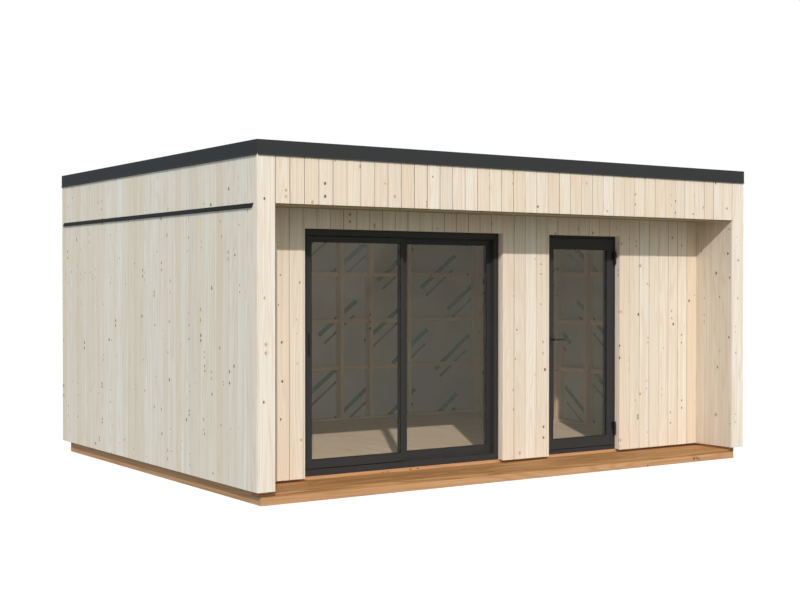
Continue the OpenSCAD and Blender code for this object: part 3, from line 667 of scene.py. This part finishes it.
# Cladding
def board_row(bm, low, high, along, across, gap, ease, grains, grid, end_gap):
    """Tongue and groove boards side by side between two corners, with a fine joint between neighbours."""
    depth = X + Y + Z - along - across
    first, last = low[across], high[across]
    start, step = grid or (first, (last - first) / max(1, round((last - first) / BOARD_W)))
    joints = [start + i * step for i in range(len(grains))]
    cuts = [first] + [joint for joint in joints if first + SLIVER < joint < last - SLIVER] + [last]
    halves = [end_gap] + [gap / 2 * rng.uniform(*JOINT_SPREAD) for _ in cuts[2:]] + [end_gap]
    near, far = list(low), list(high)
    for a, b, before, after in zip(cuts, cuts[1:], halves, halves[1:]):
        near[across], far[across] = a + before, b - after
        bar(bm, near, far, along, ease, grain=grains[int(((a + b) / 2 - start) // step)])
    # Tongues behind the gaps, given the joints' tone: painted shade in the joints
    near[depth], far[depth] = low[depth] + TONGUE_IN, high[depth] - TONGUE_IN
    for joint, half in zip(cuts, halves):
        if half:
            near[across], far[across] = max(first, joint - half), min(last, joint + half)
            bar(bm, near, far, along, 0, grain=(JOINT_SHADE_TONE, 0.0, 0.0))


def clad(name, node, rows, across, gap=FRONT_GAP, ease=FRONT_EASE, along=Z, grains=None, grid=None,
         finish=pale_spruce, end_gap=0):
    """Rows of boards for one clad face. Rows that stand over each other share their boards' grain."""
    bm = timber_mesh()
    grains = grains or [new_grain() for _ in range(WALL_GRAINS)]
    for low, high in rows:
        board_row(bm, low, high, along, across, gap, ease, grains, grid, end_gap)
    finished(name, bm, finish, [node])


def outer_boards():
    """Boards of the side walls, with slots for the drip flashings, of the back wall and of the fascia."""
    fields = ((CORNER_END, BACK, CLAD_LOW, FLASH_LOW), (CORNER_END, BACK, SOFFIT, CLAD_TOP),
              (FLASH_END, BACK, FLASH_LOW, SOFFIT), (CORNER_END, FLASH_START, FLASH_LOW, SOFFIT))
    for name, x0, x1 in (("left", -SIDE, -SIDE_CLAD_IN), ("right", SIDE_CLAD_IN, SIDE)):
        rows = [((x0, y0, z0), (x1, y1, z1)) for y0, y1, z0, z1 in fields]
        clad(name + "_boards", name + "_cladding", rows, Y, SIDE_GAP, SIDE_EASE, grid=SIDE_GRID)
    rows = [((-SIDE_CLAD_IN, BACK_CLAD_IN, CLAD_LOW), (SIDE_CLAD_IN, BACK, CLAD_TOP))]
    clad("back_boards", "back_cladding", rows, X, SIDE_GAP, SIDE_EASE)
    rows = [((-WING_IN, FRONT, SOFFIT), (WING_IN, WING_BACK, CLAD_TOP))]
    clad("fascia_boards", "front_fascia", rows, X, grid=FRONT_GRID, end_gap=FRONT_GAP)


def recess_boards():
    """Boards of the porch's back wall, beside and over the openings, with joints that line up."""
    grains = [new_grain() for _ in range(RECESS_GRAINS)]
    fields = {"left": [(-WING_IN, PATIO_X0, CLAD_LOW)], "middle": [(PATIO_X1, DOOR_X0, CLAD_LOW)],
              "right": [(DOOR_X1, WING_IN, CLAD_LOW)],
              "over": [(x0, x1, OPENING_TOP) for x0, x1 in OPENINGS]}
    for name, parts in fields.items():
        rows = [((x0, PORCH_FACE, z0), (x1, PORCH_BACK, SOFFIT)) for x0, x1, z0 in parts]
        clad("recess_boards_" + name, "front_cladding_" + name, rows, X, grains=grains, grid=FRONT_GRID)


def porch_boards():
    """Boards of the porch's side walls and soffit, whose front edge hangs below the fascia as a lip."""
    rows = list(both_sides((WING_IN, WING_BACK, CLAD_LOW), (WING_IN + CLAD_T, PORCH_BACK, WALL_TOP)))
    # The side walls and the soffit with its lip take the darker timbers: painted shade under the porch
    clad("porch_side_boards", "porch_side_cladding", rows, Y, SIDE_GAP, SIDE_EASE, finish=shaded_porch_spruce)
    rows = [((-WING_IN, WING_BACK, SOFFIT), (WING_IN, PORCH_BACK, WALL_TOP)),
            ((-WING_IN, WING_BACK, SOFFIT - LIP_DROP), (WING_IN, WING_BACK + CLAD_T, SOFFIT))]
    clad("soffit_boards", "porch_soffit", rows, Y, along=X, finish=shaded_soffit_spruce)


def wing_corner_boards():
    """Wide boards on the front ends of the side walls, and a narrow one round each corner."""
    bm = timber_mesh()
    for low, high in both_sides((WING_IN, FRONT, CLAD_LOW), (SIDE, WING_BACK, CLAD_TOP)):
        bar(bm, low, high, Z, WING_EASE, 2, (WING_TONE, *new_grain()[1:]))
    for low, high in both_sides((SIDE_CLAD_IN, WING_BACK, CLAD_LOW), (SIDE, CORNER_END, CLAD_TOP)):
        bar(bm, low, high, Z, CORNER_EASE)
    finished("wing_corner_boards", bm, pale_spruce, ["wing_boards"])


def reveal_boards():
    """Lining boards at both sides and over the top of each opening."""
    bm = timber_mesh()
    for (x0, x1), (lined_x0, lined_x1) in zip(OPENINGS, LINED_OPENINGS):
        for a, b in ((lined_x0, x0), (x1, lined_x1)):
            bar(bm, (a, PORCH_BACK, BASE_H), (b, FRONT_STUD_IN, OPENING_TOP), Z, LINING_EASE)
        low, high = (lined_x0, PORCH_BACK, OPENING_TOP), (lined_x1, FRONT_STUD_IN, OPENING_TOP + LINING_T)
        bar(bm, low, high, X, LINING_EASE)
    finished("reveal_boards", bm, pale_spruce, ["opening_linings"])


# Roof
def roof_rafters():
    bm = timber_mesh()
    for x in spread(-STUD_OUT, STUD_OUT, JOIST_T, ROOF_JOISTS):
        bar(bm, (x - JOIST_T / 2, WING_BACK, WALL_TOP), (x + JOIST_T / 2, BACK_STUD_OUT, JOIST_TOP), Y)
    finished("roof_rafters", bm, stud_spruce, ["roof_joists"])


def parapet_timbers():
    """Low kerb of timber round the roof, behind the trim."""
    bm = timber_mesh()
    kerb_in = SIDE_CLAD_IN - PARAPET_T
    for low, high in both_sides((kerb_in, WING_BACK, ROOF_Z), (SIDE_CLAD_IN, BACK_CLAD_IN, CLAD_TOP)):
        bar(bm, low, high, Y)
    for y in (WING_BACK, BACK_CLAD_IN - PARAPET_T):
        bar(bm, (-kerb_in, y, ROOF_Z), (kerb_in, y + PARAPET_T, CLAD_TOP), X)
    finished("parapet_timbers", bm, stud_spruce, ["roof_parapet"])


def roof_seams():
    """Laps where the roof's sheets meet."""
    (x0, y0, _), (x1, y1, _) = box_mm("roof_cover")
    top = ROOF_Z + ROOF_COVER_T
    bm = bmesh.new()
    for x in spread(x0, x1, SEAM_LAP, ROOF_SHEETS + 1)[1:-1]:
        low, high = (x - SEAM_LAP / 2, y0 + SEAM_IN, top), (x + SEAM_LAP / 2, y1 - SEAM_IN, top + SEAM_T)
        bar(bm, low, high, ease=SEAM_EASE)
    finished("roof_seams", bm, roof_sheet)


def flashing_strips():
    """Drip flashings let into the side boards. The front end of their drip lip is cut at a slant."""
    profile = ((0, FLASH_LOW), (FLASH_OUT, FLASH_LOW), (FLASH_OUT, FLASH_LOW + FLASH_EDGE),
               (FLASH_EDGE, SOFFIT - FLASH_EDGE), (FLASH_EDGE, SOFFIT), (0, SOFFIT))
    bm = bmesh.new()
    for low, high in both_sides((SIDE_CLAD_IN, FLASH_START, FLASH_LOW), (SIDE, FLASH_END, SOFFIT)):
        bar(bm, low, high, ease=0)
    for side in (-1, 1):
        rim = [bm.verts.new(Vector((side * (SIDE + out), CORNER_END, z)) * MM) for out, z in profile]
        extruded(bm, [bm.faces.new(rim)], FLASH_END - CORNER_END)
        for vert in rim:
            vert.co.y += (SOFFIT * MM - vert.co.z) * FLASH_SLANT / FLASH_H
    finished("flashing_strips", bm, drip_coat, ["drip_flashings"])


# Doors
def glazing(name, light, y0, y1, body):
    """Two panes with a spacer between them, and a black gasket on each side."""
    outer = inset_all(light, -GLASS_SEAT)
    x0, x1, z0, z1 = outer
    bm = bmesh.new()
    for a, b in ((y0, y0 + PANE_T), (y1 - PANE_T, y1)):
        bar(bm, (x0, a, z0), (x1, b, z1), ease=PANE_EASE)
    finished(name + "_panes", bm, pane_glass, [name + "_glass"], body)
    bm = bmesh.new()
    mitred_frame(bm, outer, inset_all(light, SPACER_IN), y0 + PANE_T, y1 - PANE_T, SPACER_EASE, 1)
    finished(name + "_spacer", bm, spacer_metal, body=body)
    bm = bmesh.new()
    for a, b in ((y0 - GASKET_D, y0), (y1, y1 + GASKET_D)):
        mitred_frame(bm, light, inset_all(light, GASKET_W), a, b, GASKET_EASE)
    finished(name + "_gaskets", bm, gasket_rubber, body=body)


def glazed_sash(node, rect, profiles, y0, y1, body="pod", runners=()):
    """Mitred profiles, with the runners that a sash may have, and the glass unit let into them."""
    light = inset(rect, *profiles)
    bm = bmesh.new()
    mitred_frame(bm, rect, light, y0, y1, SASH_EASE)
    for low, high in runners:
        bar(bm, low, high, ease=RUNNER_EASE)
    finished(node + "_profiles", bm, profile_coat, [node], body)
    glass_in = (y1 - y0 - GLASS_T) / 2
    glazing(node.split("_")[0], light, y0 + glass_in, y1 - glass_in, body)


def patio_door():
    """Surround with its stepped track, a fixed sash behind and a sliding sash in front with its grip."""
    outer = (PATIO_X0, PATIO_X1, BASE_H, OPENING_TOP)
    track = inset(outer, PATIO_JAMB_W, PATIO_JAMB_W, PATIO_RAIL_H, PATIO_RAIL_H)
    bm = bmesh.new()
    mitred_frame(bm, outer, track, FRAME_FACE, TRACK_BACK)
    mitred_frame(bm, outer, inset_all(track, TRACK_STEP), TRACK_BACK, PATIO_BACK)
    finished("patio_surround", bm, profile_coat, ["patio_frame"])

    (x0, y0, z0), (x1, y1, z1) = box_mm("fixed_sash")
    glazed_sash("fixed_sash", (x0, x1, z0, z1), FIXED_PROFILES, y0, y1)

    x0, _, z0, z1 = inset_all(track, SASH_GAP)
    x1 = x0 + SASH_W
    runner_in, runner_h = (SASH_T - GLASS_T) / 2, SASH_GAP - RUNNER_GAP
    levels = ((z0 - runner_h, z0), (z1, z1 + runner_h))
    runners = [((x, SASH_FACE + runner_in, a), (x + RUNNER_L, SASH_BACK - runner_in, b))
               for x in (x0 + RUNNER_L, x1 - 2 * RUNNER_L) for a, b in levels]
    glazed_sash("sliding_sash", (x0, x1, z0, z1), SLIDING_PROFILES, SASH_FACE, SASH_BACK,
                "sliding_door", runners)

    (x0, _, z0), (x1, _, z1) = box_mm("sash_pull")
    grip_back = SASH_FACE - PULL_BASE_D
    bm = bmesh.new()
    bar(bm, (x0, grip_back, z0), (x1, SASH_FACE, z1), ease=1.5, segments=2)
    bar(bm, (x0, SASH_FACE - PULL_D, z0 + PULL_GRIP_W), (x0 + PULL_GRIP_W, grip_back, z1 - PULL_GRIP_W),
        ease=2.5, segments=3)
    finished("sash_grip", bm, fitting_coat, ["sash_pull"], "sliding_door")


def hinged_door():
    """Rebated surround and the glazed leaf that shuts into it."""
    outer = (DOOR_X0, DOOR_X1, BASE_H, OPENING_TOP)
    rebate = inset(outer, DOOR_JAMB_W, DOOR_JAMB_W, THRESHOLD_H, DOOR_JAMB_W)
    stop = inset(rebate, STOP_W, STOP_W, 0, STOP_W)
    bm = bmesh.new()
    mitred_frame(bm, outer, rebate, FRAME_FACE, REBATE_BACK)
    mitred_frame(bm, outer, stop, REBATE_BACK, DOOR_BACK)
    finished("door_surround", bm, profile_coat, ["door_frame"])

    (x0, y0, z0), (x1, y1, z1) = box_mm("door_leaf")
    glazed_sash("door_leaf", (x0, x1, z0, z1), LEAF_PROFILES, y0, y1, "hinged_door")


def handle_side(plates, levers, face, out):
    """Plate, key cylinder and lever on one face of the leaf. The way out from it is -1 or 1 along Y."""
    key_z, plate_z = HANDLE_Z - KEY_DROP, HANDLE_Z - HANDLE_PLATE_DROP
    key_end, lever_in = HANDLE_PLATE_T + KEY_OUT, HANDLE_PLATE_T + LEVER_OUT

    def slab(bm, left, width, near, far, middle_z, height, ease, segments):
        y0, y1 = sorted((face + out * near, face + out * far))
        x0 = HANDLE_X - left
        bar(bm, (x0, y0, middle_z - height / 2), (x0 + width, y1, middle_z + height / 2),
            ease=ease, segments=segments)

    def boss(bm, near, far, z, radius, ease):
        rod(bm, (HANDLE_X, face + out * near, z), (HANDLE_X, face + out * far, z), radius, ease=ease)

    slab(plates, HANDLE_PLATE_W / 2, HANDLE_PLATE_W, 0, HANDLE_PLATE_T, plate_z, HANDLE_PLATE_H,
         ease=2.0, segments=3)
    boss(plates, HANDLE_PLATE_T - SUNK, key_end, key_z, KEY_R, ease=1.0)
    slab(plates, KEYHOLE_W / 2, KEYHOLE_W, key_end - SUNK / 2, key_end + KEYHOLE_OUT, key_z, KEYHOLE_H,
         ease=0.2, segments=1)
    boss(levers, HANDLE_PLATE_T + NECK_GAP, lever_in + 2 * SUNK, HANDLE_Z, NECK_R, ease=0.8)
    slab(levers, LEVER_H / 2, LEVER_L, lever_in, lever_in + LEVER_T, HANDLE_Z, LEVER_H, ease=5.0, segments=4)


def door_handle():
    """Plates and levers on both faces of the leaf, and the spindle that joins the levers."""
    plates, levers = bmesh.new(), bmesh.new()
    for face, out in ((FRAME_FACE, -1), (LEAF_BACK, 1)):
        handle_side(plates, levers, face, out)
    rod(levers, (HANDLE_X, FRAME_FACE - SPINDLE_OUT, HANDLE_Z), (HANDLE_X, LEAF_BACK + SPINDLE_OUT, HANDLE_Z),
        SPINDLE_R, SPINDLE_SIDES)
    finished("handle_backplates", plates, handle_coat, ["handle_plates"], "hinged_door")
    finished("lever_pair", levers, handle_coat, ["door_lever"], "door_handle")


for build in (base_timbers, porch_timbers, deck_planks, floor_boards,
              back_studwork, front_studwork, side_studwork,
              outer_boards, recess_boards, porch_boards, wing_corner_boards, reveal_boards,
              roof_rafters, parapet_timbers, roof_seams, flashing_strips,
              patio_door, hinged_door, door_handle):
    build()

# Solids that show as they are take their finish directly
for material, names in (
        (trim_coat, ("trim_front", "trim_back", "trim_left", "trim_right")),
        (wind_membrane, ("wind_membrane",)), (roof_sheet, ("roof_cover",)), (roof_boarding, ("roof_deck",)),
        (fitting_coat, ("frame_hinges", "leaf_hinges"))):
    for name in names:
        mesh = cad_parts[name].data
        mesh.materials.clear()
        mesh.materials.append(material)


# Studio
def white_to_the_eye(tree):
    """1 where the eye looks at the background, also through glass or mirrored in it."""
    rays = tree.nodes.new("ShaderNodeLightPath").outputs
    total = rays["Is Camera Ray"]
    for name in ("Is Glossy Ray", "Is Transmission Ray"):
        add = tree.nodes.new("ShaderNodeMath")
        add.operation, add.use_clamp = "ADD", True
        tree.links.new(total, add.inputs[0])
        tree.links.new(rays[name], add.inputs[1])
        total = add.outputs[0]
    return total


def studio_sky():
    """White background to the eye, and a softer sky for the light."""
    world = bpy.data.worlds.new("studio")
    scene.world = world
    world.use_nodes = True
    tree = world.node_tree
    fill, white = tree.nodes["Background"], tree.nodes.new("ShaderNodeBackground")
    for node, colour, strength in ((fill, SKY_COLOUR, SKY_FILL), (white, WHITE, 1.0)):
        node.inputs["Color"].default_value = colour
        node.inputs["Strength"].default_value = strength
    choose = tree.nodes.new("ShaderNodeMixShader")
    for index, output in enumerate((white_to_the_eye(tree), fill.outputs[0], white.outputs[0])):
        tree.links.new(output, choose.inputs[index])
    tree.links.new(choose.outputs[0], tree.nodes["World Output"].inputs["Surface"])


def lamp(name, strength, size, colour, travel):
    """A far lamp: its strength, its size in the sky in degrees, its colour and the way its light goes."""
    light = bpy.data.lights.new(name, "SUN")
    light.energy, light.angle, light.color = strength, math.radians(size), colour
    holder = bpy.data.objects.new(name, light)
    holder.rotation_mode = "QUATERNION"
    holder.rotation_quaternion = Vector(travel).to_track_quat("-Z", "Y")
    scene.collection.objects.link(holder)


def studio_floor():
    """Wide floor that takes the pod's shadow and looks white to the eye."""
    bm = bmesh.new()
    bmesh.ops.create_grid(bm, x_segments=1, y_segments=1, size=GROUND_REACH)
    mesh = bpy.data.meshes.new("studio_floor")
    bm.to_mesh(mesh)
    bm.free()
    ground = Finish("studio_white", Base_Color=GROUND_COLOUR, Roughness=1.0, Specular_IOR_Level=0.0)
    strength = ground.times(white_to_the_eye(ground.tree), GROUND_GLOW)
    glow = ground.add("Emission", {"Color": WHITE, "Strength": strength})
    ground.surface(ground.add("AddShader", {0: ground.shader.outputs[0], 1: glow.outputs[0]}))
    mesh.materials.append(ground.material)
    floor = bpy.data.objects.new("studio_floor", mesh)
    scene.collection.objects.link(floor)


def photo_camera():
    lens = bpy.data.cameras.new("photo_camera")
    lens.sensor_width, lens.lens, lens.clip_end = SENSOR, LENS, FAR_CLIP
    camera = bpy.data.objects.new("photo_camera", lens)
    camera.location = CAMERA_AT
    camera.rotation_euler = (math.radians(CAMERA_TILT), 0.0, math.radians(CAMERA_TURN))
    scene.collection.objects.link(camera)
    scene.camera = camera


# A warm key from the front left, a cool soft fill from the left and a soft fill from the front
studio_sky()
lamp("key_sun", strength=2.34, size=1.2, colour=(1.0, 0.94, 0.94), travel=(0.423, 0.733, -0.533))
lamp("cool_fill", strength=0.72, size=60.0, colour=(0.16, 0.565, 1.0), travel=(1.0, -0.1, -0.2))
lamp("front_fill", strength=0.33, size=70.0, colour=(0.92, 1.0, 0.95), travel=(0.0, 1.0, -0.25))
studio_floor()
photo_camera()
scene.view_settings.view_transform = "Standard"
